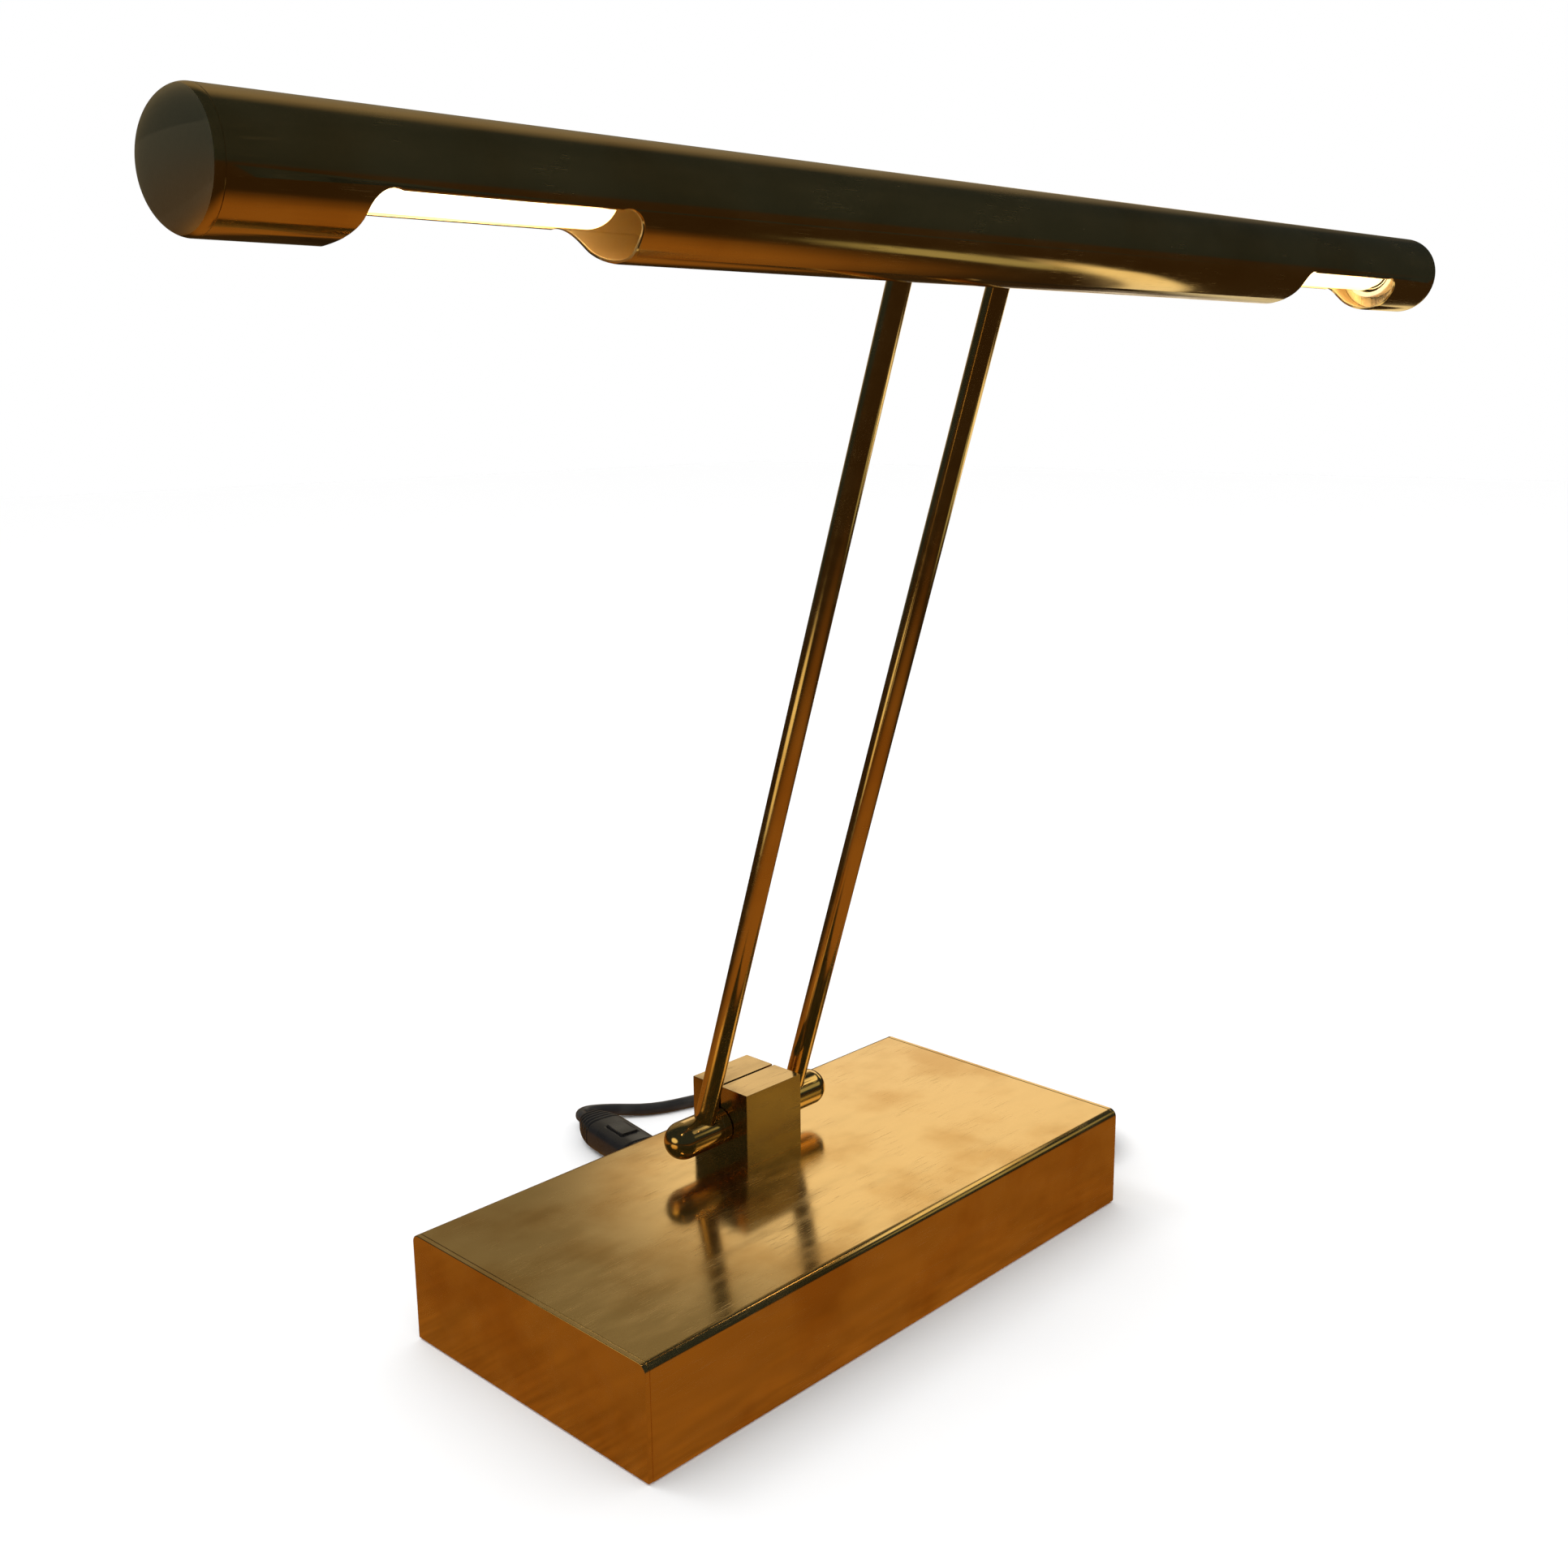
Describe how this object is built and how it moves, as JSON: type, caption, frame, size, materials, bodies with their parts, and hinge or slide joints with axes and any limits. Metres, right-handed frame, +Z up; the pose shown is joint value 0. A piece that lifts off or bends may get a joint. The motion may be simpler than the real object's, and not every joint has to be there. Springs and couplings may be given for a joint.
{
  "type": "piano lamp",
  "caption": "Brass piano lamp: heavy rectangular base, split hinge block, two thin rods and a long tube shade with windows over tubular bulbs, with cord, switch and plug.",
  "frame": {"origin": "centre of the base's underside, on the table", "axes": "+X along the base and the shade, +Y to the back where the cord leaves, +Z up; the shade leans to -Y, the front"},
  "size_m": [0.554, 0.2797, 0.3944],
  "materials": {
    "brass": "polished, unlacquered, lightly aged",
    "shade_brass": "polished, darker from the reflections above",
    "pad": "matt",
    "steel": "plain",
    "iron": "rough",
    "black_plastic": "satin",
    "rocker": "satin",
    "black_rubber": "satin",
    "cord": "satin PVC",
    "lead": "PVC",
    "holder": "moulded",
    "bulb_glass": "frosted, lit",
    "bulb_cap": "nickel plated"
  },
  "bodies": {
    "base": {"ballast_weight": "iron", "base_cover": "brass", "base_end_left": "brass", "base_end_right": "brass", "base_pad": "pad", "block_screws": "steel", "bottom_plate": "steel", "clamp_screw": "steel", "cord_clamp": "steel", "cord_clamp_screws": "steel", "cord_hank": "cord", "cord_lead": "cord", "cord_run": "cord", "cord_tail": "cord", "cord_tie": "black_plastic", "cover_brackets": "steel", "foot_screws": "steel", "hinge_block": "brass", "inner_cord": "cord", "plug_body": "black_plastic", "plug_pins": "steel", "rocker_pin": "steel", "spreader_plate": "steel", "strain_relief": "black_rubber", "switch_case_lower": "black_plastic", "switch_case_upper": "black_plastic", "switch_contacts": "bulb_cap", "terminal_block": "black_plastic"},
    "arm": {"lower_axle": "brass", "lower_collar_left": "brass", "lower_collar_right": "brass", "lower_knob_left": "brass", "lower_knob_right": "brass", "arm_rod_left": "brass", "arm_rod_right": "brass", "arm_leads": "lead", "rod_head_left": "brass", "rod_head_right": "brass", "upper_axle": "brass", "axle_nuts": "brass"},
    "shade": {"bulb_cap_left": "bulb_cap", "bulb_cap_right": "bulb_cap", "bulb_glass_left": "bulb_glass", "bulb_glass_right": "bulb_glass", "holder_disc_left": "steel", "holder_disc_right": "steel", "holder_shell_left": "brass", "holder_shell_right": "brass", "lamp_holder_left": "holder", "lamp_holder_right": "holder", "shade_block": "brass", "shade_block_screws": "steel", "shade_cap_left": "shade_brass", "shade_cap_right": "shade_brass", "shade_leads": "lead", "shade_tube": "shade_brass"},
    "rocker": {"switch_rocker": "rocker"}
  },
  "joints": [
    {"name": "arm_tilt", "type": "hinge", "parent": "base", "child": "arm", "pos_m": [0.0025, 0.026, 0.056], "axis": [1, 0, 0], "range_deg": [-45, 35]},
    {"name": "shade_tilt", "type": "hinge", "parent": "arm", "child": "shade", "pos_m": [0.0025, -0.07804, 0.38599], "axis": [1, 0, 0], "range_deg": [-60, 15]},
    {"name": "switch_rock", "type": "hinge", "parent": "base", "child": "rocker", "pos_m": [0.01928, 0.12363, 0.0103], "axis": [0.9877, -0.1564, 0], "range_deg": [-6, 6]}
  ]
}
